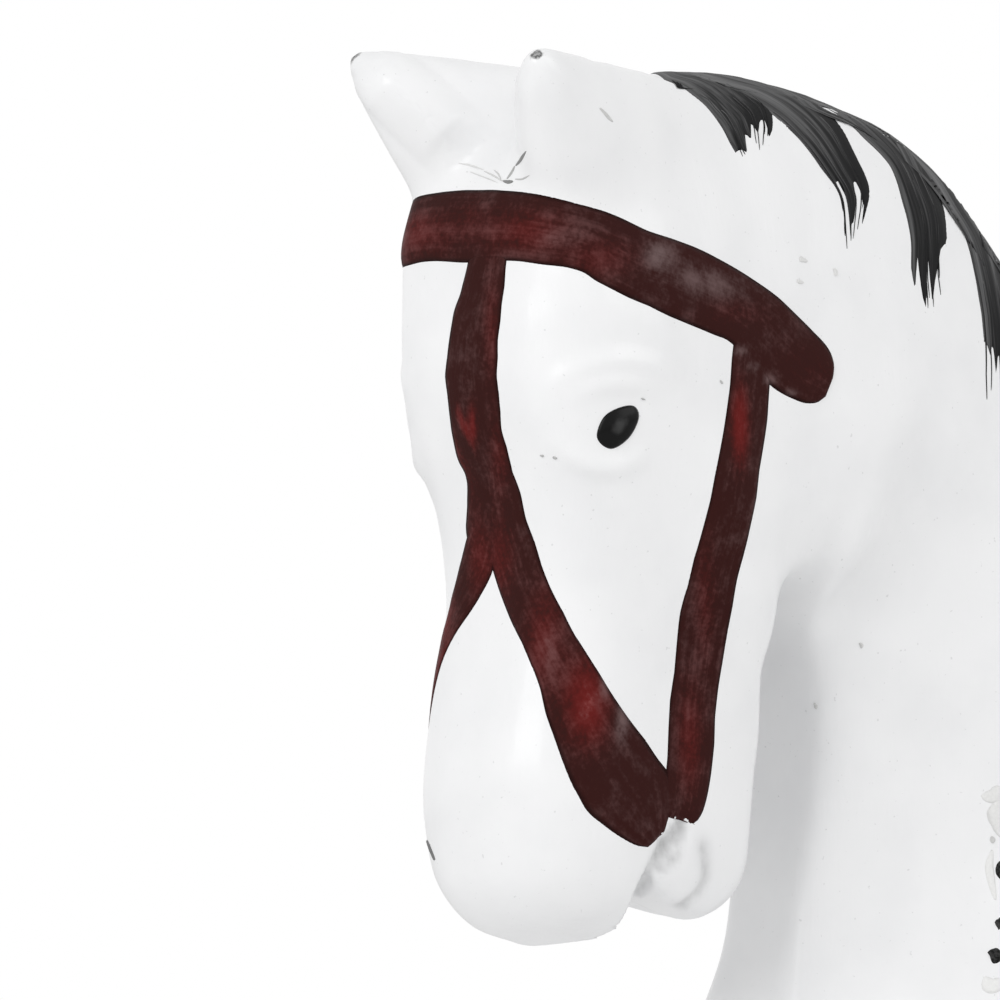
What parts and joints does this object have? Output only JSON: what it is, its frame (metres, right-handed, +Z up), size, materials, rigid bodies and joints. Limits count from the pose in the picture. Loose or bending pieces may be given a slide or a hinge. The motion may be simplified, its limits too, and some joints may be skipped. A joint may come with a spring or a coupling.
{
  "type": "wooden horse figurine",
  "caption": "Carved and painted wooden horse that stands on its hooves, with an arched neck, lowered head, painted bridle and mane, joined from blocks with glued dowels.",
  "frame": {"origin": "on the table, under the centre of the horse's box", "axes": "+Z up, the horse faces -Y and its left side is +X"},
  "size_m": [0.05, 0.1802, 0.2],
  "materials": {
    "white_paint": "carved wood under white gloss paint",
    "black_paint": "carved wood under black dry-brushed paint",
    "bridle_paint": "maroon gloss paint in brushed strokes",
    "beech": "bare turned beech"
  },
  "bodies": {
    "root": {"head_and_neck": "white_paint", "left_ear": "white_paint", "right_ear": "white_paint", "trunk": "white_paint", "front_left_leg": "white_paint", "front_right_leg": "white_paint", "hind_left_leg": "white_paint", "hind_right_leg": "white_paint", "tail": "black_paint", "neck_front_dowel": "beech", "neck_rear_dowel": "beech", "front_left_leg_front_dowel": "beech", "front_left_leg_rear_dowel": "beech", "front_right_leg_front_dowel": "beech", "front_right_leg_rear_dowel": "beech", "hind_left_leg_front_dowel": "beech", "hind_left_leg_rear_dowel": "beech", "hind_right_leg_front_dowel": "beech", "hind_right_leg_rear_dowel": "beech", "tail_dowel": "beech"}
  },
  "joints": []
}
